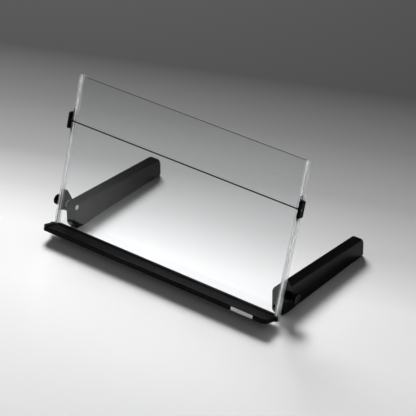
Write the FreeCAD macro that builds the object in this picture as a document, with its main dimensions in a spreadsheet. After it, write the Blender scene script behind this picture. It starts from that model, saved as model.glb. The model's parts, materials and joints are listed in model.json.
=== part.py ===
import FreeCAD, Part
import math
import os
import re
import Sketcher

# Copy holder with line guide: a clear tilting platform on two hollow legs.
# World: X along the ledge, Y to the rear, Z up, millimetres, desk at Z = 0.
# Platform bodies are drawn upright in their own frame: X along the ledge, Y behind the panel's front
# face, Z up the slope from the ledge's top. Their Placement leans them back about the tilt axis.

V = FreeCAD.Vector

SIZES = {
    # tilt axis in the world and in the platform's own frame
    "lean": 17.3,
    "pivot_y": -80.5,
    "pivot_z": 43.0,
    "pivot_back": 18.2,
    "pivot_up": 31.4,
    # platform
    "half_wide": 228.5,
    "panel_thick": 3.0,
    "panel_top": 254.0,
    "panel_seat": 3.0,
    "rail_wide": 6.0,
    "rail_front": 2.5,
    "rail_back": 7.0,
    "rail_top": 255.5,
    "rail_seat": 10.0,
    "rail_round": 0.8,
    "panel_slot": 2.0,
    "groove_mid": 0.9,
    "groove_mouth": 2.4,
    "groove_lip": 1.2,
    "groove_head": 4.4,
    "groove_deep": 1.5,
    "key_out": 1.5,
    "key_wide": 3.0,
    "key_deep": 3.0,
    # ledge
    "ledge_deep": 34.9,
    "ledge_high": 8.0,
    "ledge_wall": 2.2,
    "tray_drop": 1.0,
    "tray_lip": 3.6,
    "tray_rear": 3.0,
    "web_back": 1.8,
    "rib_thick": 1.6,
    "rib_inset": 12.5,
    "rib_short": 0.8,
    "end_wide": 8.0,
    "end_cut": 6.5,
    "plug_long": 8.0,
    "plug_gap": 0.1,
    "lug_out": 4.0,
    "lug_front": 8.0,
    "lug_inset": 0.9,
    "label_end": 23.5,
    "label_wide": 42.0,
    "label_high": 5.8,
    "label_thick": 0.3,
    # tilt bracket
    "cheek_round": 12.0,
    "cheek_low": 22.0,
    "cheek_high": 56.5,
    "cheek_foot": 4.0,
    # legs
    "leg_gap": 1.5,
    "leg_wide": 19.0,
    "leg_lift": 0.8,
    "leg_rear": 142.9,
    "leg_fall": 3.57,
    "head_round": 7.3,
    "toe_y": -79.9,
    "toe_high": 14.0,
    "leg_wall": 2.5,
    "leg_round": 4.0,
    "rear_round": 14.0,
    "heel_round": 3.0,
    "hollow_front": -75.0,
    "head_block_low": 31.0,
    "head_block_rear": -70.5,
    "leg_rib": 1.8,
    "leg_rib_low": 2.8,
    "leg_rib_first": -38.0,
    "leg_rib_last": 106.0,
    "foot_long": 18.0,
    "foot_wide": 10.0,
    "foot_sink": 0.8,
    "pad_high": 3.0,
    "pad_rim": 2.0,
    "foot_front": -58.5,
    "foot_rear": 126.5,
    # tilt bolt, washer and knob
    "bolt_round": 2.5,
    "bore_gap": 0.05,
    "bolt_hex": 8.0,
    "bolt_head": 3.5,
    "washer_thick": 0.5,
    "washer_round": 6.5,
    "knob_long": 18.5,
    "knob_hub": 7.1,
    "knob_hub_long": 11.5,
    "knob_flare": 3.0,
    "knob_rim_round": 8.7,
    "flute_round": 3.0,
    "flute_deep": 0.7,
    "flute_count": 8.0,
    "insert_hex": 8.0,
    "insert_long": 10.0,
    "bolt_tip": 12.0,
    # line guide
    "guide_up": 177.5,
    "line_round": 1.1,
    "line_gap": 0.3,
    "clip_gap": 0.3,
    "clip_thick": 5.5,
    "clip_front": 7.0,
    "clip_rear": 5.0,
    "clip_high": 28.0,
    "clip_round": 1.4,
    "slider_high": 40.0,
    "slider_gap": 0.15,
    "ferrule_round": 1.9,
    "ferrule_end": 1.0,
    "tenon_long": 3.0,
    "tenon_high": 16.0,
}

# Driving dimensions go in one sheet, a plain number and a word for each
doc = FreeCAD.newDocument("CopyHolder")
sheet = doc.addObject("Spreadsheet::Sheet", "Sizes")
for row, (word, value) in enumerate(SIZES.items(), start=1):
    sheet.set("A%d" % row, word)
    sheet.set("B%d" % row, repr(value))
    sheet.setAlias("B%d" % row, word)
doc.recompute()


def linked(text):
    """Put the sheet's name before each of its words."""
    found = re.compile(r"[a-z][a-z_]*")
    return found.sub(lambda w: "Sizes." + w.group() if w.group() in SIZES else w.group(), str(text))


def bind(item, prop, text):
    item.setExpression(prop, linked(text))


def handed(text, side):
    """Mirror a world or platform X for the left-hand pieces."""
    return text if side > 0 else "-(%s)" % text


# Where things are, each written once
RAIL_IN = "half_wide - rail_wide"
LINE_Y = "-(rail_front + line_gap + line_round)"
CLIP_IN = "half_wide + clip_gap"
KNOB_IN = "half_wide"
LEG_OUT = "half_wide - rail_wide - leg_gap"
LEG_IN = LEG_OUT + " - leg_wide"
LEG_MID = LEG_OUT + " - leg_wide / 2"
CHEEK_IN = LEG_OUT + " + washer_thick"
HEAD_TOP_Y = "pivot_y + head_round * sin(leg_fall * 1deg)"
HEAD_TOP_Z = "pivot_z + head_round * cos(leg_fall * 1deg)"


def leg_top(at_y, below="0"):
    """Height of the leg's sloping top at a given Y, less a thickness."""
    fall = "(%s - (%s)) * tan(leg_fall * 1deg)" % (at_y, HEAD_TOP_Y)
    return "%s - %s - (%s)" % (HEAD_TOP_Z, fall, below)


def new_body(label, place="world"):
    """Start one piece; place is world, platform or axis."""
    body = doc.addObject("PartDesign::Body", label)
    body.Label = label
    if place == "platform":
        lean = FreeCAD.Rotation(V(-1, 0, 0), SIZES["lean"])
        body.Placement = FreeCAD.Placement(V(0, 0, 0), lean)
        turn = "cos(lean * 1deg)", "sin(lean * 1deg)"
        bind(body, "Placement.Base.y", "pivot_y - pivot_back * %s - pivot_up * %s" % turn)
        bind(body, "Placement.Base.z", "pivot_z - pivot_up * %s + pivot_back * %s" % turn)
        bind(body, "Placement.Rotation.Angle", "lean * 1deg")
    if place == "axis":
        bind(body, "Placement.Base.y", "pivot_y")
        bind(body, "Placement.Base.z", "pivot_z")
    return body


def new_sketch(body, role, offset):
    """Attach a sketch to one of the body's own planes, moved along its normal."""
    plane = [f for f in body.Origin.OriginFeatures if f.Role == role][0]
    sketch = body.newObject("Sketcher::SketchObject", body.Label + "_sketch")
    sketch.AttachmentSupport = [(plane, "")]
    sketch.MapMode = "FlatFace"
    bind(sketch, "AttachmentOffset.Base.z", offset)
    return sketch


def add_loop(sketch, points):
    """Closed outline with a driven distance to the origin for each corner."""
    rough = [(i * 7.0, (i * i) % 11 * 3.0) for i in range(len(points))]
    first = sketch.GeometryCount
    count = len(points)
    for i in range(count):
        a = rough[i]
        b = rough[(i + 1) % count]
        sketch.addGeometry(Part.LineSegment(V(a[0], a[1], 0), V(b[0], b[1], 0)), False)
    for i in range(count):
        following = first + (i + 1) % count
        sketch.addConstraint(Sketcher.Constraint("Coincident", first + i, 2, following, 1))
    for i, (px, py) in enumerate(points):
        for kind, rough_at, text in (("DistanceX", rough[i][0], px), ("DistanceY", rough[i][1], py)):
            added = sketch.addConstraint(Sketcher.Constraint(kind, -1, 1, first + i, 1, rough_at))
            bind(sketch, "Constraints[%d]" % added, text)


def add_circle(sketch, cx, cy, radius):
    geo = sketch.addGeometry(Part.Circle(V(3, 3, 0), V(0, 0, 1), 2.0), False)
    for kind, text in (("DistanceX", cx), ("DistanceY", cy)):
        added = sketch.addConstraint(Sketcher.Constraint(kind, -1, 1, geo, 3, 3.0))
        bind(sketch, "Constraints[%d]" % added, text)
    added = sketch.addConstraint(Sketcher.Constraint("Radius", geo, 2.0))
    bind(sketch, "Constraints[%d]" % added, radius)


def box_loop(x0, x1, y0, y1):
    return [(x0, y0), (x1, y0), (x1, y1), (x0, y1)]


def hexagon(radius):
    """Corners of a hexagon about the origin from its corner radius."""
    turns = [60 * k + 30 for k in range(6)]
    corner = "(%s) * %s(%ddeg)"
    return [(corner % (radius, "cos", a), corner % (radius, "sin", a)) for a in turns]


def feature(body, kind, sketch, length, back):
    made = body.newObject("PartDesign::" + kind, body.Label + "_" + kind.lower())
    made.Profile = sketch
    made.Reversed = back
    bind(made, "Length", length)
    sketch.Visibility = False
    body.Tip = made
    return made


def grow(body, role, offset, length, loops, back=False, cut=False, circles=()):
    """One sketch of outlines and circles, padded or pocketed by a length along its normal."""
    sketch = new_sketch(body, role, offset)
    for points in loops:
        add_loop(sketch, points)
    for cx, cy, radius in circles:
        add_circle(sketch, cx, cy, radius)
    if not cut:
        return feature(body, "Pad", sketch, length, back)
    doc.recompute()
    before = body.Shape.Volume
    made = feature(body, "Pocket", sketch, length, not back)
    doc.recompute()
    if body.Shape.Volume > before - 1e-6:
        raise RuntimeError("pocket removed nothing in " + body.Label)
    return made


def grow_x(body, side, start, length, loops=(), cut=False, circles=()):
    """Grow away from the middle along X, on the right or the left."""
    return grow(body, "YZ_Plane", handed(start, side), length, loops, side < 0, cut, circles)


def soften(body, kind, radius, wanted):
    """Round or chamfer the edges that a test picks on the body as it stands."""
    doc.recompute()
    base = body.Tip
    picked = [i for i, e in enumerate(base.Shape.Edges, start=1) if wanted(e)]
    if not picked:
        raise RuntimeError("no edge to soften in " + body.Label)
    made = body.newObject("PartDesign::" + kind, body.Label + "_" + kind.lower())
    made.Base = (base, ["Edge%d" % i for i in picked])
    bind(made, "Radius" if kind == "Fillet" else "Size", radius)
    body.Tip = made
    doc.recompute()


def value(word):
    return float(sheet.get(word))


def near(a, b, slack=0.02):
    return abs(a - b) < slack


def along(edge, axis):
    """True for a straight edge along one of the body's axes."""
    a = edge.Vertexes[0].Point
    b = edge.Vertexes[-1].Point
    gap = b - a
    rest = [abs(gap[k]) for k in range(3) if k != axis]
    return max(rest) < 0.01 and abs(gap[axis]) > 0.01


def mid(edge):
    return edge.BoundBox.Center


# Back panel: clear sheet, its edges in the rails' slots and its foot in the ledge
def make_panel():
    body = new_body("back_panel", "platform")
    half = RAIL_IN + " + panel_slot"
    outline = box_loop("-(%s)" % half, half, "-panel_seat", "panel_top")
    grow(body, "XZ_Plane", "-panel_thick", "panel_thick", [outline])


# Side rail: one extruded section with the panel slot, the outward T-groove and the rear key groove
def make_rail(name, side):
    body = new_body(name + "_side_rail", "platform")
    lip = "half_wide - groove_lip"
    root = lip + " - groove_deep"
    mouth = "groove_mouth / 2"
    head = "groove_head / 2"
    key = "half_wide - key_out"
    key_root = "rail_back - key_deep"
    outline = [
        (RAIL_IN, "-rail_front"),
        ("half_wide", "-rail_front"),
        ("half_wide", "groove_mid - " + mouth),
        (lip, "groove_mid - " + mouth),
        (lip, "groove_mid - " + head),
        (root, "groove_mid - " + head),
        (root, "groove_mid + " + head),
        (lip, "groove_mid + " + head),
        (lip, "groove_mid + " + mouth),
        ("half_wide", "groove_mid + " + mouth),
        ("half_wide", "rail_back"),
        (key, "rail_back"),
        (key, key_root),
        (key + " - key_wide", key_root),
        (key + " - key_wide", "rail_back"),
        (RAIL_IN, "rail_back"),
        (RAIL_IN, "panel_thick"),
        (RAIL_IN + " + panel_slot", "panel_thick"),
        (RAIL_IN + " + panel_slot", "0"),
        (RAIL_IN, "0"),
    ]
    outline = [(handed(px, side), py) for px, py in outline]
    grow(body, "XY_Plane", "-rail_seat", "rail_top + rail_seat", [outline])
    front = -value("rail_front")
    soften(body, "Fillet", "rail_round", lambda e: along(e, 2) and near(mid(e).y, front))


# Ledge: an open-bottomed channel with a page tray, a panel groove and cross ribs below
def make_ledge():
    body = new_body("ledge", "platform")
    under = "-(tray_drop + ledge_wall)"
    seat = "-(panel_seat + ledge_wall)"
    outline = [
        ("-ledge_deep", "-ledge_high"),
        ("-ledge_deep + ledge_wall", "-ledge_high"),
        ("-ledge_deep + ledge_wall", under),
        ("-web_back - ledge_wall", under),
        ("-web_back - ledge_wall", "-ledge_high"),
        ("-web_back", "-ledge_high"),
        ("-web_back", seat),
        ("rail_back - ledge_wall", seat),
        ("rail_back - ledge_wall", "-ledge_high"),
        ("rail_back", "-ledge_high"),
        ("rail_back", "0"),
        ("panel_thick", "0"),
        ("panel_thick", "-panel_seat"),
        ("0", "-panel_seat"),
        ("0", "0"),
        ("-tray_rear", "0"),
        ("-tray_rear", "-tray_drop"),
        ("-ledge_deep + tray_lip", "-tray_drop"),
        ("-ledge_deep + tray_lip", "0"),
        ("-ledge_deep", "0"),
    ]
    long_half = "(half_wide - end_wide)"
    grow(body, "YZ_Plane", "-" + long_half, "2 * " + long_half, [outline])
    front = -value("ledge_deep")
    lip = front + value("tray_lip")
    for at in (front, lip):
        edges = (lambda y: lambda e: along(e, 0) and near(mid(e).y, y) and near(mid(e).z, 0))(at)
        soften(body, "Fillet", "ledge_wall / 2.5", edges)
    ribs = []
    for k in range(-5, 6):
        at = "%d / 5 * (half_wide - end_wide - plug_long - rib_inset)" % k
        left = at + " - rib_thick / 2"
        right = at + " + rib_thick / 2"
        ribs.append(box_loop(left, right, "-ledge_deep + ledge_wall / 2", "-web_back - ledge_wall / 2"))
    low = "-ledge_high + rib_short"
    grow(body, "XY_Plane", low, "ledge_high - rib_short - tray_drop - ledge_wall / 2", ribs)


# Ledge end: cap with a cut corner, a plug for the ledge, a corner notch for the rail and a side lug
def make_ledge_end(name, side):
    body = new_body(name + "_ledge_end", "platform")
    inner = "half_wide - end_wide"
    plan = [
        (inner, "-ledge_deep"),
        ("half_wide - end_cut", "-ledge_deep"),
        ("half_wide", "-ledge_deep + end_cut"),
        ("half_wide", "rail_back"),
        (inner, "rail_back"),
    ]
    plan = [(handed(px, side), py) for px, py in plan]
    grow(body, "XY_Plane", "-ledge_high", "ledge_high", [plan])
    top = "-(tray_drop + ledge_wall + plug_gap)"
    plug = box_loop("-ledge_deep + ledge_wall + plug_gap", "-web_back - ledge_wall - plug_gap",
                    "-ledge_high + plug_gap", top)
    grow_x(body, side, inner + " - plug_long", "plug_long + 1", [plug])
    lug = box_loop("-lug_front", "-rail_front", "-ledge_high + lug_inset", "-lug_inset")
    grow_x(body, side, "half_wide - 1", "lug_out + 1", [lug])
    notch = box_loop(handed(RAIL_IN, side), handed("half_wide + 1", side), "-rail_front", "rail_back + 1")
    grow(body, "XY_Plane", "-ledge_high - 1", "ledge_high + 2", [notch], False, True)
    groove = box_loop("0", "panel_thick", "-panel_seat", "1")
    grow_x(body, side, inner + " - 1", "rail_wide + 1", [groove], True)
    out = side * (value("half_wide") + value("lug_out"))
    soften(body, "Fillet", "lug_inset * 1.5", lambda e: along(e, 2) and near(mid(e).x, out))


# Tilt bracket: round cheek with a sloping shoulder and a key that sits in the rail's rear groove
def make_bracket(name, side):
    body = new_body(name + "_tilt_bracket", "platform")
    thick = "(half_wide - (%s))" % CHEEK_IN
    cheek = [
        ("rail_back", "cheek_low"),
        ("rail_back + cheek_foot", "cheek_low"),
        ("pivot_back", "pivot_up"),
        ("pivot_back + cheek_round * cos(43deg)", "pivot_up + cheek_round * sin(43deg)"),
        ("rail_back + cheek_foot", "cheek_high"),
        ("rail_back", "cheek_high"),
    ]
    grow_x(body, side, CHEEK_IN, thick, [cheek])
    grow_x(body, side, CHEEK_IN, thick, circles=[("pivot_back", "pivot_up", "cheek_round")])
    behind = box_loop("-1", "rail_back", "cheek_low - 1", "cheek_high + 1")
    grow_x(body, side, CHEEK_IN + " - 1", thick + " + 2", [behind], True)
    key = box_loop("rail_back - key_deep + plug_gap", "rail_back + 1", "cheek_low", "cheek_high")
    grow_x(body, side, "half_wide - key_out - key_wide + plug_gap", "key_wide - 2 * plug_gap", [key])
    bore = [("pivot_back", "pivot_up", "bolt_round + bore_gap")]
    grow_x(body, side, CHEEK_IN + " - 1", thick + " + 2", cut=True, circles=bore)


# Label plate: blank, on the ledge's front face
def make_label():
    body = new_body("label_plate", "platform")
    middle = "ledge_high / 2"
    right = "half_wide - label_end"
    outline = box_loop(right + " - label_wide", right,
                       "-%s - label_high / 2" % middle, "-%s + label_high / 2" % middle)
    grow(body, "XZ_Plane", "ledge_deep", "label_thick", [outline])


# Guide line: the taut elastic from clip to clip, straight across in front of the rails
def make_line():
    body = new_body("guide_line", "platform")
    half = "(%s + clip_thick - ferrule_end)" % CLIP_IN
    grow(body, "YZ_Plane", "-" + half, "2 * " + half, [], circles=[(LINE_Y, "guide_up", "line_round")])


# Line ferrule: blind crimp on the line's end, flush in the clip
def make_ferrule(name, side):
    body = new_body(name + "_line_ferrule", "platform")
    outer = [(LINE_Y, "guide_up", "ferrule_round")]
    line = [(LINE_Y, "guide_up", "line_round")]
    grow_x(body, side, CLIP_IN, "clip_thick", circles=outer)
    grow_x(body, side, CLIP_IN, "clip_thick - ferrule_end", cut=True, circles=line)


# Guide clip: rounded block beside the rail with the ferrule's hole and a mortise for the T-key
def make_clip(name, side):
    body = new_body(name + "_guide_clip", "platform")
    block = box_loop("-clip_front", "clip_rear", "guide_up - clip_high / 2", "guide_up + clip_high / 2")
    grow_x(body, side, CLIP_IN, "clip_thick", [block])
    outer = side * (value("half_wide") + value("clip_gap") + value("clip_thick"))
    soften(body, "Fillet", "clip_round * 1.6", lambda e: along(e, 0))
    soften(body, "Chamfer", "clip_round", lambda e: near(mid(e).x, outer))
    grow_x(body, side, CLIP_IN, "clip_thick", cut=True, circles=[(LINE_Y, "guide_up", "ferrule_round")])
    grow_x(body, side, CLIP_IN, "tenon_long", [tenon_loop()], True)


def tenon_loop():
    half = "(groove_mouth / 2 - slider_gap)"
    return box_loop("groove_mid - " + half, "groove_mid + " + half,
                    "guide_up - tenon_high / 2", "guide_up + tenon_high / 2")


# Guide slider: T-key that runs in the rail's groove, longer than the clip, with a tenon into it
def make_slider(name, side):
    body = new_body(name + "_guide_slider", "platform")
    low = "guide_up - slider_high / 2"
    lip = "half_wide - groove_lip - slider_gap"
    root = "half_wide - groove_lip - groove_deep + slider_gap"
    mouth = "(groove_mouth / 2 - slider_gap)"
    head = "(groove_head / 2 - slider_gap)"
    outline = [
        (root, "groove_mid - " + head),
        (lip, "groove_mid - " + head),
        (lip, "groove_mid - " + mouth),
        (CLIP_IN, "groove_mid - " + mouth),
        (CLIP_IN, "groove_mid + " + mouth),
        (lip, "groove_mid + " + mouth),
        (lip, "groove_mid + " + head),
        (root, "groove_mid + " + head),
    ]
    outline = [(handed(px, side), py) for px, py in outline]
    grow(body, "XY_Plane", low, "slider_high", [outline])
    grow_x(body, side, "half_wide", "clip_gap + tenon_long", [tenon_loop()])


# Leg: open-bottomed moulding with a round head, a sloping top, cross ribs, foot pads and the bolt's seat
def make_leg(name, side):
    body = new_body(name + "_leg")
    outline = [
        ("toe_y", "leg_lift"),
        ("leg_rear", "leg_lift"),
        ("leg_rear", leg_top("leg_rear")),
        (HEAD_TOP_Y, HEAD_TOP_Z),
        ("pivot_y", "pivot_z"),
        ("pivot_y - head_round", "pivot_z"),
        ("pivot_y - head_round", "toe_high"),
    ]
    grow_x(body, side, LEG_IN, "leg_wide", [outline])
    grow_x(body, side, LEG_IN, "leg_wide", circles=[("pivot_y", "pivot_z", "head_round")])
    rear = value("leg_rear")
    soften(body, "Fillet", "rear_round",
           lambda e: along(e, 0) and near(mid(e).y, rear) and mid(e).z > 20)
    soften(body, "Fillet", "heel_round",
           lambda e: along(e, 0) and near(mid(e).y, rear) and mid(e).z < 5)
    outer = value("half_wide") - value("rail_wide") - value("leg_gap")
    faces = [side * outer, side * (outer - value("leg_wide"))]

    def top_edge(edge):
        on_side = any(near(mid(edge).x, f) for f in faces)
        flat = edge.BoundBox.XLength < 0.01
        return on_side and flat and mid(edge).z > 15 and mid(edge).y > value("pivot_y") + 6

    soften(body, "Fillet", "leg_round", top_edge)
    hollow = [
        ("hollow_front", "leg_lift - 1"),
        ("leg_rear - leg_wall", "leg_lift - 1"),
        ("leg_rear - leg_wall", leg_top("leg_rear", "rear_round")),
        ("leg_rear - rear_round", leg_top("(leg_rear - rear_round)", "leg_wall")),
        ("head_block_rear", leg_top("head_block_rear", "leg_wall")),
        ("head_block_rear", "head_block_low"),
        ("pivot_y - head_round + leg_wall", "head_block_low"),
        ("pivot_y - head_round + leg_wall", "toe_high + leg_wall"),
    ]
    grow_x(body, side, LEG_IN + " + leg_wall", "leg_wide - 2 * leg_wall", [hollow], True)
    ribs = []
    for k in range(6):
        at = "(leg_rib_first + (leg_rib_last - leg_rib_first) * %d / 5)" % k
        ribs.append([
            (at + " - leg_rib / 2", "leg_rib_low"),
            (at + " + leg_rib / 2", "leg_rib_low"),
            (at + " + leg_rib / 2", leg_top(at, "leg_wall / 2")),
            (at + " - leg_rib / 2", leg_top(at, "leg_wall / 2")),
        ])
    pads = []
    for at in ("foot_front", "foot_rear"):
        pads.append(box_loop(at + " - foot_long / 2 - pad_rim", at + " + foot_long / 2 + pad_rim",
                             "leg_lift", "leg_lift + pad_high"))
    grow_x(body, side, LEG_IN + " + leg_wall / 2", "leg_wide - leg_wall", ribs + pads)
    grow(body, "XY_Plane", "leg_lift", "foot_sink", foot_loops(side), False, True)
    bore = [("pivot_y", "pivot_z", "bolt_round + bore_gap")]
    grow_x(body, side, LEG_IN + " - 1", "leg_wide + 2", cut=True, circles=bore)
    corner = "bolt_hex / 2 / cos(30deg) + bore_gap"
    seat = [("pivot_y + " + px, "pivot_z + " + py) for px, py in hexagon(corner)]
    grow_x(body, side, LEG_IN, "bolt_head", [seat], True)


# Leg feet: one named node holds the pair of pads under a leg
def foot_loops(side):
    loops = []
    for at in ("foot_front", "foot_rear"):
        half = "foot_wide / 2"
        loops.append(box_loop(
            handed("%s - %s" % (LEG_MID, half), side), handed("%s + %s" % (LEG_MID, half), side),
            at + " - foot_long / 2", at + " + foot_long / 2"))
    return loops


def make_feet(name, side):
    feet = []
    for which, loop in zip(("front", "rear"), foot_loops(side)):
        body = new_body("%s_%s_foot" % (name, which))
        grow(body, "XY_Plane", "0", "leg_lift + foot_sink", [loop])
        soften(body, "Chamfer", "leg_lift / 2", lambda e: near(mid(e).z, 0))
        feet.append(body)
    joined = doc.addObject("Part::Compound", name + "_leg_feet")
    joined.Label = name + "_leg_feet"
    joined.Links = feet


# Tilt axis pieces, drawn about the axis: bolt, washer, insert and knob
def make_bolt(name, side):
    body = new_body(name + "_pivot_bolt", "axis")
    grow_x(body, side, LEG_IN, "bolt_head", [hexagon("bolt_hex / 2 / cos(30deg)")])
    shank = "%s + bolt_tip - (%s)" % (KNOB_IN, LEG_IN)
    grow_x(body, side, LEG_IN, shank, circles=[("0", "0", "bolt_round")])
    tip = side * (value("half_wide") + value("bolt_tip"))
    soften(body, "Chamfer", "bolt_round / 4", lambda e: near(mid(e).x, tip))


def make_washer(name, side):
    body = new_body(name + "_friction_washer", "axis")
    rings = [("0", "0", "washer_round"), ("0", "0", "bolt_round + bore_gap")]
    grow_x(body, side, LEG_OUT, "washer_thick", circles=rings)


def make_insert(name, side):
    body = new_body(name + "_knob_insert", "axis")
    hole = [("0", "0", "bolt_round + bore_gap")]
    grow_x(body, side, KNOB_IN, "insert_long", [hexagon("insert_hex / 2 / cos(30deg)")], circles=hole)


def make_knob(name, side):
    body = new_body(name + "_knob", "axis")
    sketch = new_sketch(body, "XY_Plane", "0")
    profile = [
        (KNOB_IN, "0"),
        (KNOB_IN, "knob_hub"),
        (KNOB_IN + " + knob_hub_long", "knob_hub"),
        (KNOB_IN + " + knob_hub_long + knob_flare", "knob_rim_round"),
        (KNOB_IN + " + knob_long", "knob_rim_round"),
        (KNOB_IN + " + knob_long", "0"),
    ]
    add_loop(sketch, [(handed(px, side), py) for px, py in profile])
    turned = body.newObject("PartDesign::Revolution", body.Label + "_turned")
    turned.Profile = sketch
    turned.ReferenceAxis = (sketch, ["H_Axis"])
    turned.Angle = 360
    sketch.Visibility = False
    body.Tip = turned
    flutes = []
    count = int(value("flute_count"))
    for k in range(count):
        turn = "(360deg * %d / %d)" % (k, count)
        far = "(knob_rim_round + flute_round - flute_deep)"
        flutes.append(("%s * cos%s" % (far, turn), "%s * sin%s" % (far, turn), "flute_round"))
    grow_x(body, side, KNOB_IN + " + knob_hub_long + knob_flare", "knob_long", cut=True, circles=flutes)
    grow_x(body, side, KNOB_IN, "insert_long", [hexagon("insert_hex / 2 / cos(30deg)")], True)
    hole = [("0", "0", "bolt_round + bore_gap")]
    grow_x(body, side, KNOB_IN, "bolt_tip + bore_gap + 0.5", cut=True, circles=hole)


make_panel()
make_ledge()
make_label()
make_line()
for hand, sign in (("left", -1), ("right", 1)):
    make_rail(hand, sign)
    make_ledge_end(hand, sign)
    make_bracket(hand, sign)
    make_ferrule(hand, sign)
    make_clip(hand, sign)
    make_slider(hand, sign)
    make_leg(hand, sign)
    make_feet(hand, sign)
    make_bolt(hand, sign)
    make_washer(hand, sign)
    make_insert(hand, sign)
    make_knob(hand, sign)
doc.recompute()

# Check every piece and write it to its own file
os.makedirs("parts", exist_ok=True)
held = set()
for item in doc.Objects:
    if item.TypeId == "Part::Compound":
        held.update(piece.Name for piece in item.Links)
pieces = []
for item in doc.Objects:
    if "Invalid" in item.State or "Error" in item.State:
        raise RuntimeError("feature failed: " + item.Label)
    whole = item.TypeId in ("PartDesign::Body", "Part::Compound")
    if whole and item.Name not in held:
        pieces.append(item)
for item in pieces:
    shape = item.Shape
    if shape.isNull() or not shape.isValid():
        raise RuntimeError("bad shape: " + item.Label)
    shape.exportStep("parts/%s.step" % item.Label)
print(len(pieces), "pieces written")
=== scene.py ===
import bpy
import json
import math
import numpy as np
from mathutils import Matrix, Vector


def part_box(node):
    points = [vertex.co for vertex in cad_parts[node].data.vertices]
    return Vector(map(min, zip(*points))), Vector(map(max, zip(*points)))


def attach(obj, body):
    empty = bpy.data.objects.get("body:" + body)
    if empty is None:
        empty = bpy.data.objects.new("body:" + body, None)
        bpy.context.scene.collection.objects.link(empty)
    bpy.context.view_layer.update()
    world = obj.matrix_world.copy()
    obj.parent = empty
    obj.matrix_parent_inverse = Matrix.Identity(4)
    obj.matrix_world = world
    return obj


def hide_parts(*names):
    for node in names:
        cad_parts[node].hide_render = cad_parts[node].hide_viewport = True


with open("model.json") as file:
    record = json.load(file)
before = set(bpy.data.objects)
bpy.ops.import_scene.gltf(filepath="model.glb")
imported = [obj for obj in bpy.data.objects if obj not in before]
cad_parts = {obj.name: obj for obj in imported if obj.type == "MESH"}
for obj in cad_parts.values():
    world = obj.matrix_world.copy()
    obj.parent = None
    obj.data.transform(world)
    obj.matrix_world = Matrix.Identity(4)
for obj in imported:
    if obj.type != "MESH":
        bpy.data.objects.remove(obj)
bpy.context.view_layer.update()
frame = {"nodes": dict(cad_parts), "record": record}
nodes = frame["nodes"]
scene = bpy.context.scene
HANDS = (("left", -1.0), ("right", 1.0))


# Camera: the photograph's place and lens, worked out from the ledge, rails, guide line and leg
CAMERA_PLACE = Vector((1.866, -2.4086, 1.9388))
CAMERA_AIM = Vector((0.0348, -0.0334, 0.1072))
CAMERA_LENS_MM = 190.1


def turn_towards(place, aim):
    return (Vector(aim) - Vector(place)).to_track_quat("-Z", "Y").to_euler()


def place_camera():
    data = bpy.data.cameras.new("studio_camera")
    data.lens = CAMERA_LENS_MM
    camera = bpy.data.objects.new("studio_camera", data)
    camera.location = CAMERA_PLACE
    camera.rotation_euler = turn_towards(CAMERA_PLACE, CAMERA_AIM)
    scene.collection.objects.link(camera)
    scene.camera = camera


place_camera()


# Mesh of a closed tube or turned piece from its rings of points
def ring_mesh(name, points):
    """Points is an array rings by columns by 3: rings follow each other along the piece and columns go
    round it. Each end ring is closed by a fan to its own middle."""
    rings, cols = points.shape[:2]
    verts = points.reshape(-1, 3)
    ring, col = np.meshgrid(np.arange(rings - 1), np.arange(cols), indexing="ij")
    here = ring * cols
    beyond = here + cols
    beside = (col + 1) % cols
    quads = np.stack([here + col, here + beside, beyond + beside, beyond + col], -1).reshape(-1, 4)
    faces = [tuple(q) for q in quads.tolist()]
    first = len(verts)
    verts = np.vstack([verts, points[0].mean(0), points[-1].mean(0)])
    start = np.arange(cols)
    after = (start + 1) % cols
    last = (rings - 1) * cols
    near_end = np.stack([np.full(cols, first), after, start], -1)
    far_end = np.stack([np.full(cols, first + 1), last + start, last + after], -1)
    faces += [tuple(f) for f in np.vstack([near_end, far_end]).tolist()]
    mesh = bpy.data.meshes.new(name)
    mesh.from_pydata(verts.tolist(), [], faces)
    mesh.update()
    mesh.polygons.foreach_set("use_smooth", np.ones(len(mesh.polygons), dtype=bool))
    piece = bpy.data.objects.new(name, mesh)
    scene.collection.objects.link(piece)
    return piece


# Shader groups shared by the materials
def new_group(name, inputs, outputs):
    group = bpy.data.node_groups.new(name, "ShaderNodeTree")
    for label, kind, value in inputs:
        socket = group.interface.new_socket(label, in_out="INPUT", socket_type=kind)
        if value is not None:
            socket.default_value = value
    for label, kind in outputs:
        group.interface.new_socket(label, in_out="OUTPUT", socket_type=kind)
    start = group.nodes.new("NodeGroupInput")
    end = group.nodes.new("NodeGroupOutput")
    return group, start, end


def join(tree, source, target):
    tree.links.new(source, target)


def math_node(tree, operation, a, b=None, clamp=False):
    node = tree.nodes.new("ShaderNodeMath")
    node.operation = operation
    node.use_clamp = clamp
    for socket, value in zip(node.inputs, (a, b)):
        if value is None:
            continue
        if isinstance(value, (int, float)):
            socket.default_value = value
        else:
            join(tree, value, socket)
    return node.outputs[0]


def noise_node(tree, vector, scale, detail=3.0, rough=0.55):
    node = tree.nodes.new("ShaderNodeTexNoise")
    node.inputs["Detail"].default_value = detail
    node.inputs["Roughness"].default_value = rough
    if isinstance(scale, (int, float)):
        node.inputs["Scale"].default_value = scale
    else:
        join(tree, scale, node.inputs["Scale"])
    join(tree, vector, node.inputs["Vector"])
    return node.outputs["Fac"]


F = "NodeSocketFloat"
C = "NodeSocketColor"
PATCH_SCALE = 22.0
SWIRL_SCALE = 240.0
SPECK_SCALE = 900.0
DUST_COLOUR = (0.35, 0.34, 0.33, 1)


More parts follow.
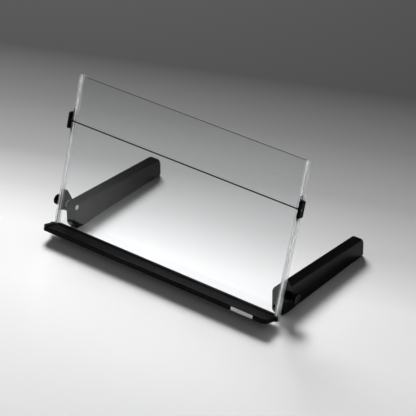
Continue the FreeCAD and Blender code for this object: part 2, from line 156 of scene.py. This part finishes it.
def make_moulded_group():
    """Moulded plastic: fine spark-eroded grain, slow patches in the gloss and a little settled dust."""
    group, start, end = new_group(
        "moulded_surface",
        [("Grain Scale", F, 1800.0), ("Gloss", F, 0.35), ("Gloss Spread", F, 0.1), ("Dust", F, 0.1),
         ("Base", C, (0.01, 0.01, 0.01, 1))],
        [("Color", C), ("Roughness", F), ("Height", F)])
    place = group.nodes.new("ShaderNodeTexCoord").outputs["Object"]
    grain = noise_node(group, place, start.outputs["Grain Scale"], 4.0, 0.6)
    patches = noise_node(group, place, PATCH_SCALE, 3.0, 0.5)
    swirl = noise_node(group, place, SWIRL_SCALE, 2.0, 0.5)
    mixed = math_node(group, "ADD", math_node(group, "MULTIPLY", patches, 0.65),
                      math_node(group, "MULTIPLY", swirl, 0.35))
    centred = math_node(group, "SUBTRACT", mixed, 0.5)
    spread = math_node(group, "MULTIPLY", centred, start.outputs["Gloss Spread"])
    rough = math_node(group, "ADD", start.outputs["Gloss"], math_node(group, "MULTIPLY", spread, 2.0), True)
    facing = group.nodes.new("ShaderNodeNewGeometry").outputs["Normal"]
    split = group.nodes.new("ShaderNodeSeparateXYZ")
    join(group, facing, split.inputs[0])
    upward = math_node(group, "POWER", math_node(group, "MAXIMUM", split.outputs["Z"], 0.0), 3.0)
    specks = math_node(group, "POWER", noise_node(group, place, SPECK_SCALE, 5.0, 0.7), 4.0)
    dusty = math_node(group, "MULTIPLY", math_node(group, "MULTIPLY", upward, specks),
                      start.outputs["Dust"], True)
    mix = group.nodes.new("ShaderNodeMix")
    mix.data_type = "RGBA"
    join(group, dusty, mix.inputs["Factor"])
    join(group, start.outputs["Base"], mix.inputs["A"])
    mix.inputs["B"].default_value = DUST_COLOUR
    join(group, mix.outputs["Result"], end.inputs["Color"])
    join(group, rough, end.inputs["Roughness"])
    join(group, grain, end.inputs["Height"])
    return group


LINE_STRETCH = (12.0, 1.0, 1.0)
STAIN_SCALE = 160.0
STAIN_SHARE = 0.35
STAIN_COLOUR = (0.30, 0.29, 0.27, 1)
LINE_ROUGHNESS = 0.25


def make_drawn_group():
    """Turned or drawn metal: lines squeezed along one axis, with light tarnish."""
    group, start, end = new_group(
        "drawn_metal",
        [("Line Scale", F, 400.0), ("Gloss", F, 0.3), ("Base", C, (0.6, 0.6, 0.6, 1))],
        [("Color", C), ("Roughness", F), ("Height", F)])
    place = group.nodes.new("ShaderNodeTexCoord").outputs["Object"]
    stretch = group.nodes.new("ShaderNodeMapping")
    stretch.inputs["Scale"].default_value = LINE_STRETCH
    join(group, place, stretch.inputs["Vector"])
    lines = noise_node(group, stretch.outputs[0], start.outputs["Line Scale"], 3.0, 0.6)
    stain = noise_node(group, place, STAIN_SCALE, 4.0, 0.6)
    uneven = math_node(group, "MULTIPLY", math_node(group, "SUBTRACT", lines, 0.5), LINE_ROUGHNESS)
    rough = math_node(group, "ADD", start.outputs["Gloss"], uneven, True)
    mix = group.nodes.new("ShaderNodeMix")
    mix.data_type = "RGBA"
    join(group, math_node(group, "MULTIPLY", stain, STAIN_SHARE), mix.inputs["Factor"])
    join(group, start.outputs["Base"], mix.inputs["A"])
    mix.inputs["B"].default_value = STAIN_COLOUR
    join(group, mix.outputs["Result"], end.inputs["Color"])
    join(group, rough, end.inputs["Roughness"])
    join(group, lines, end.inputs["Height"])
    return group


MOULDED = make_moulded_group()
DRAWN = make_drawn_group()


def new_material(name):
    material = bpy.data.materials.new(name)
    material.use_nodes = True
    shader = material.node_tree.nodes["Principled BSDF"]
    return material, material.node_tree, shader


def use_group(tree, shader, group, values, bump, distance):
    node = tree.nodes.new("ShaderNodeGroup")
    node.node_tree = group
    for label, value in values.items():
        node.inputs[label].default_value = value
    join(tree, node.outputs["Color"], shader.inputs["Base Color"])
    join(tree, node.outputs["Roughness"], shader.inputs["Roughness"])
    relief = tree.nodes.new("ShaderNodeBump")
    relief.inputs["Strength"].default_value = bump
    relief.inputs["Distance"].default_value = distance
    join(tree, node.outputs["Height"], relief.inputs["Height"])
    join(tree, relief.outputs[0], shader.inputs["Normal"])


GRAIN_DEPTH = 0.0002
LINE_DEPTH = 0.0001
LINE_RELIEF = 0.08


def plastic(name, colour, gloss, spread=0.08, grain=1800.0, bump=0.12, dust=0.004, shine=0.07):
    """Moulded plastic; shine is the reflection at the surface, where 0.5 is that of a plain lacquer."""
    material, tree, shader = new_material(name)
    shader.inputs["Specular IOR Level"].default_value = shine
    values = {"Grain Scale": grain, "Gloss": gloss, "Gloss Spread": spread, "Dust": dust,
              "Base": colour + (1.0,)}
    use_group(tree, shader, MOULDED, values, bump, GRAIN_DEPTH)
    return material


def metal(name, colour, gloss, lines=400.0):
    material, tree, shader = new_material(name)
    shader.inputs["Metallic"].default_value = 1.0
    values = {"Line Scale": lines, "Gloss": gloss, "Base": colour + (1.0,)}
    use_group(tree, shader, DRAWN, values, LINE_RELIEF, LINE_DEPTH)
    return material


WIPE_TURN = (0.4, 0.5, 0.3)
WIPE_STRETCH = (1.0, 9.0, 9.0)
WIPE_SCALE = 180.0
SAWN_ROUGHNESS = 0.6
SHADOW_LIFT = 0.8


def clear(name, colour, gloss, scratch, let_through, bend, sawn_from=None):
    """Clear plastic: light passes and casts only a faint shadow; fine wiping marks break the gloss. The
    part that isn't let through is a faint milky tone. Beyond sawn_from metres from the middle along X
    the sheet's sawn edge is frosted."""
    material, tree, shader = new_material(name)
    shader.inputs["Base Color"].default_value = colour + (1.0,)
    shader.inputs["IOR"].default_value = bend
    shader.inputs["Transmission Weight"].default_value = let_through
    place = tree.nodes.new("ShaderNodeTexCoord").outputs["Object"]
    wiped = tree.nodes.new("ShaderNodeMapping")
    wiped.inputs["Rotation"].default_value = WIPE_TURN
    wiped.inputs["Scale"].default_value = WIPE_STRETCH
    join(tree, place, wiped.inputs["Vector"])
    marks = math_node(tree, "POWER", noise_node(tree, wiped.outputs[0], WIPE_SCALE, 4.0, 0.6), 3.0)
    rough = math_node(tree, "ADD", gloss, math_node(tree, "MULTIPLY", marks, scratch), True)
    if sawn_from is not None:
        split = tree.nodes.new("ShaderNodeSeparateXYZ")
        join(tree, place, split.inputs[0])
        from_middle = math_node(tree, "ABSOLUTE", split.outputs["X"])
        sawn = math_node(tree, "GREATER_THAN", from_middle, sawn_from)
        rough = math_node(tree, "ADD", rough, math_node(tree, "MULTIPLY", sawn, SAWN_ROUGHNESS), True)
    join(tree, rough, shader.inputs["Roughness"])
    ray = tree.nodes.new("ShaderNodeLightPath")
    lifted = math_node(tree, "MULTIPLY", ray.outputs["Is Shadow Ray"], SHADOW_LIFT)
    join(tree, math_node(tree, "SUBTRACT", 1.0, lifted), shader.inputs["Alpha"])
    return material


THREADS_ROUND = 8.0
THREADS_ALONG = 180.0


def covered_elastic():
    """Covered elastic: crossed helical threads over the line, from its own UV map."""
    material, tree, shader = new_material("covered_elastic")
    shader.inputs["Base Color"].default_value = (0.0025, 0.0025, 0.003, 1)
    shader.inputs["Specular IOR Level"].default_value = 0.1
    uv = tree.nodes.new("ShaderNodeTexCoord").outputs["UV"]
    split = tree.nodes.new("ShaderNodeSeparateXYZ")
    join(tree, uv, split.inputs[0])
    turns = math_node(tree, "MULTIPLY", split.outputs["X"], 2.0 * math.pi * THREADS_ROUND)
    pitch = math_node(tree, "MULTIPLY", split.outputs["Y"], 2.0 * math.pi * THREADS_ALONG)
    left = math_node(tree, "SINE", math_node(tree, "ADD", turns, pitch))
    right = math_node(tree, "SINE", math_node(tree, "SUBTRACT", turns, pitch))
    weave = math_node(tree, "MULTIPLY", left, right)
    rough = math_node(tree, "ADD", 0.62, math_node(tree, "MULTIPLY", weave, 0.12))
    join(tree, rough, shader.inputs["Roughness"])
    relief = tree.nodes.new("ShaderNodeBump")
    relief.inputs["Strength"].default_value = 0.4
    relief.inputs["Distance"].default_value = 0.0001
    join(tree, weave, relief.inputs["Height"])
    join(tree, relief.outputs[0], shader.inputs["Normal"])
    return material


# Finishes by slot
SAWN_FACE = 0.0002
SHEET_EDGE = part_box("back_panel")[1].x - SAWN_FACE
DEEP_BLACK = (0.0018, 0.0018, 0.0022)
CLIP_BLACK = (0.0025, 0.0025, 0.003)
KNOB_BLACK = (0.0015, 0.0015, 0.0018)
LEG_BLACK = (0.0018, 0.0018, 0.0021)

FINISHES = {
    "clear_sheet": clear("clear_sheet_acrylic", (0.965, 0.978, 0.985), gloss=0.015, scratch=0.10,
                         let_through=1.0, bend=1.45, sawn_from=SHEET_EDGE),
    "clear_rail": clear("clear_extruded_rail", (0.97, 0.98, 0.99), gloss=0.005, scratch=0.03,
                        let_through=0.89, bend=1.33),
    "black_ledge": plastic("ledge_satin_black", DEEP_BLACK, gloss=0.36, spread=0.10, grain=1500.0,
                           bump=0.15),
    "black_bracket": plastic("bracket_satin_black", (0.004, 0.004, 0.0045), gloss=0.38, grain=1600.0,
                             bump=0.15),
    "label": plastic("blank_label_film", (0.82, 0.82, 0.81), gloss=0.30, spread=0.06, grain=900.0,
                     bump=0.05, dust=0.0, shine=0.4),
    "steel_small": metal("small_steel", (0.10, 0.10, 0.104), gloss=0.45),
    "black_clip": plastic("clip_satin_black", CLIP_BLACK, gloss=0.32, grain=1700.0),
    "slider": plastic("slider_nylon", (0.012, 0.012, 0.013), gloss=0.45, spread=0.06, grain=1200.0,
                      bump=0.1),
    "black_leg": plastic("leg_gloss_black", LEG_BLACK, gloss=0.24, spread=0.06, grain=1300.0,
                         bump=0.08, dust=0.002, shine=0.09),
    "foot_rubber": plastic("foot_rubber", (0.03, 0.03, 0.03), gloss=0.75, grain=1100.0, bump=0.4,
                           dust=0.02, shine=0.2),
    "bolt_steel": metal("bolt_zinc_steel", (0.46, 0.47, 0.48), gloss=0.36, lines=300.0),
    "washer_plastic": plastic("washer_nylon", (0.62, 0.61, 0.58), gloss=0.42, spread=0.06, grain=1000.0,
                              bump=0.1, dust=0.0, shine=0.4),
    "black_knob": plastic("knob_satin_black", KNOB_BLACK, gloss=0.32, grain=1700.0, dust=0.002,
                          shine=0.03),
    "insert_brass": metal("insert_brass", (0.72, 0.50, 0.22), gloss=0.27, lines=350.0),
    "elastic": covered_elastic(),
}
SLOT_OF = {part["node"]: part["material_slot"] for part in frame["record"]["subparts"]}

for label, node in nodes.items():
    node.data.materials.clear()
    node.data.materials.append(FINISHES[SLOT_OF[label]])


# Guide line: a braided tube in place of the plain rod
LINE_RINGS = 1200
LINE_SIDES = 24
BRAID_STRANDS = 4
BRAID_PITCH = 0.004
BRAID_MEAN = 0.97
BRAID_RELIEF = 0.03


def make_guide_line():
    """The radius is r0 (mean + relief sin(n u + k x) sin(n u - k x)), with u round the line, x along it,
    n strands each way and k one turn to a pitch: two sets of threads that cross."""
    low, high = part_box("guide_line")
    mid = (low + high) / 2
    radius = (high.z - low.z) / 2
    x = np.linspace(low.x, high.x, LINE_RINGS)
    u = np.linspace(0, 2 * math.pi, LINE_SIDES, endpoint=False)
    xx, uu = np.meshgrid(x, u, indexing="ij")
    k = 2 * math.pi / BRAID_PITCH
    weave = np.sin(BRAID_STRANDS * uu + k * xx) * np.sin(BRAID_STRANDS * uu - k * xx)
    r = radius * (BRAID_MEAN + BRAID_RELIEF * weave)
    points = np.stack([xx, mid.y + r * np.cos(uu), mid.z + r * np.sin(uu)], -1)
    piece = ring_mesh("braided_guide_line", points)
    uv = piece.data.uv_layers.new(name="along")
    loops = np.zeros(len(piece.data.loops), dtype=np.int32)
    piece.data.loops.foreach_get("vertex_index", loops)
    along = np.stack([uu / (2 * math.pi), (xx - low.x) / (high.x - low.x)], -1).reshape(-1, 2)
    end_middles = [[0, 0], [0, 1]]
    uv.data.foreach_set("uv", np.vstack([along, end_middles])[loops].astype(np.float32).ravel())
    piece.data.materials.append(FINISHES["elastic"])
    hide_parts("guide_line")
    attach(piece, "line_guide")


# Clamp knob: a straight hub that flares to a fluted rim, with rolled edges and a shallow dished end.
# The profile's points are shares of the knob's length along the axis and of its rim radius.
KNOB_PROFILE = (
    (0.000, 0.55), (0.000, 0.775), (0.015, 0.805), (0.045, 0.816), (0.60, 0.816), (0.645, 0.828),
    (0.70, 0.885), (0.755, 0.965), (0.78, 0.99), (0.81, 1.0), (0.94, 1.0), (0.97, 0.985),
    (0.99, 0.955), (1.0, 0.91), (0.998, 0.86), (0.985, 0.78), (0.975, 0.60), (0.97, 0.40),
    (0.97, 0.20), (0.97, 0.02))
KNOB_RINGS = 96
KNOB_SIDES = 192
FLUTES = 8
FLUTE_DEPTH = 0.0007
GRIP_START = 0.86
GRIP_FADE = 0.12


def make_knob(hand, side):
    """The profile is turned about the axis. At the rim, the flutes bite in by
    depth max(0, cos(n u))^2, with u round the axis and n flutes, fading to nothing on the hub."""
    low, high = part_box(hand + "_knob")
    mid = (low + high) / 2
    inner = low.x if side > 0 else high.x
    length = high.x - low.x
    rim = (high.z - low.z) / 2 / math.cos(math.pi / (2 * FLUTES))
    profile = np.array(KNOB_PROFILE)
    steps = np.arange(len(profile))
    t = np.linspace(0, len(profile) - 1, KNOB_RINGS)
    along = np.interp(t, steps, profile[:, 0]) * length
    radius = np.interp(t, steps, profile[:, 1]) * rim
    u = np.linspace(0, 2 * math.pi, KNOB_SIDES, endpoint=False)
    aa, uu = np.meshgrid(along, u, indexing="ij")
    rr = np.repeat(radius[:, None], KNOB_SIDES, 1)
    grip = np.clip((rr / rim - GRIP_START) / GRIP_FADE, 0, 1)
    rr = rr - np.maximum(0, np.cos(FLUTES * uu)) ** 2 * FLUTE_DEPTH * grip
    turn = uu if side > 0 else -uu
    points = np.stack([inner + side * aa, mid.y + rr * np.cos(turn), mid.z + rr * np.sin(turn)], -1)
    piece = ring_mesh(hand + "_fluted_knob", points)
    piece.data.materials.append(FINISHES["black_knob"])
    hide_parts(hand + "_knob")
    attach(piece, hand + "_clamp_knob")


make_guide_line()
for hand, side in HANDS:
    make_knob(hand, side)


# Floor: one wide pale sheet whose tone falls away towards the rear, a painted shade standing in for the
# light's fall-off
FLOOR_HALF = 9
FLOOR_SKEW = 0.39
# Painted shade and light on the floor: near the front the tone darkens towards the right leg and lightens
# towards the left
NEAR_SHADE_SKEW = 0.15
NEAR_SHADE_FROM = 0.26
NEAR_SHADE_OVER = 0.2
# Floor tones by w are painted shade: darker towards the rear right in place of the light's fall-off
FLOOR_SHADE_TONES = ((-0.20, 0.90), (-0.05, 0.82), (0.09, 0.54), (0.24, 0.31), (0.44, 0.16), (0.65, 0.058))


def make_floor():
    """The tone, which is painted shade, follows w = v + near shade skew x clamp((near shade from - v) /
    near shade over), with v = y - skew x,
    in metres: it falls from the front left to the rear right in place of the light's fall-off, and a little
    beside the right leg as painted shade."""
    mesh = bpy.data.meshes.new("studio_floor")
    corners = [(FLOOR_HALF * x, FLOOR_HALF * y, 0) for x, y in ((-1, -1), (1, -1), (1, 1), (-1, 1))]
    mesh.from_pydata(corners, [], [(0, 1, 2, 3)])
    floor = bpy.data.objects.new("studio_floor", mesh)
    scene.collection.objects.link(floor)
    material, tree, shader = new_material("floor_paper")
    shader.inputs["Roughness"].default_value = 0.6
    shader.inputs["Specular IOR Level"].default_value = 0.1
    place = tree.nodes.new("ShaderNodeTexCoord").outputs["Object"]
    split = tree.nodes.new("ShaderNodeSeparateXYZ")
    join(tree, place, split.inputs[0])
    x, y = split.outputs["X"], split.outputs["Y"]
    v = math_node(tree, "SUBTRACT", y, math_node(tree, "MULTIPLY", x, FLOOR_SKEW))
    # Painted shade beside the right leg and painted light on the left, added to w
    near_shade_share = math_node(tree, "DIVIDE", math_node(tree, "SUBTRACT", NEAR_SHADE_FROM, v), NEAR_SHADE_OVER, True)
    side_shade = math_node(tree, "MULTIPLY", math_node(tree, "MULTIPLY", x, NEAR_SHADE_SKEW), near_shade_share)
    w = math_node(tree, "ADD", v, side_shade)
    ramp = tree.nodes.new("ShaderNodeValToRGB")
    stops = ramp.color_ramp.elements
    first, last = FLOOR_SHADE_TONES[0][0], FLOOR_SHADE_TONES[-1][0]
    for at, tone in FLOOR_SHADE_TONES[1:-1]:
        stops.new((at - first) / (last - first))
    for stop, (at, tone) in zip(stops, FLOOR_SHADE_TONES):
        stop.color = (tone, tone, tone, 1)
    share = math_node(tree, "DIVIDE", math_node(tree, "SUBTRACT", w, first), last - first, True)
    join(tree, share, ramp.inputs[0])
    join(tree, ramp.outputs[0], shader.inputs["Base Color"])
    mesh.materials.append(material)


# Lamps: name, place, aim height, side, watts, and whether clear sheets and gloss show their image
LAMPS = (
    ("key_light", (-1.35, 1.2, 2.0), 0.05, 1.0, 98.0, False),
    ("rim_light", (1.3, 1.7, 1.4), 0.05, 0.9, 2.5, True),
    ("fill_light", (1.6, -1.8, 1.8), 0.1, 2.2, 3.2, True),
    ("front_light", (-1.6, -1.6, 1.4), 0.1, 1.6, 3.2, True),
)
WORLD_LIGHT = 0.06


def make_lamp(name, place, aim_height, size, power, mirrored):
    data = bpy.data.lights.new(name, "AREA")
    data.shape = "SQUARE"
    data.size = size
    data.energy = power
    lamp = bpy.data.objects.new(name, data)
    lamp.location = place
    lamp.visible_glossy = mirrored
    lamp.rotation_euler = turn_towards(place, (0, 0, aim_height))
    scene.collection.objects.link(lamp)


make_floor()
for lamp in LAMPS:
    make_lamp(*lamp)

world = bpy.data.worlds.new("studio_world")
scene.world = world
world.use_nodes = True
world.node_tree.nodes["Background"].inputs["Color"].default_value = (1, 1, 1, 1)
world.node_tree.nodes["Background"].inputs["Strength"].default_value = WORLD_LIGHT
scene.view_settings.view_transform = "Standard"
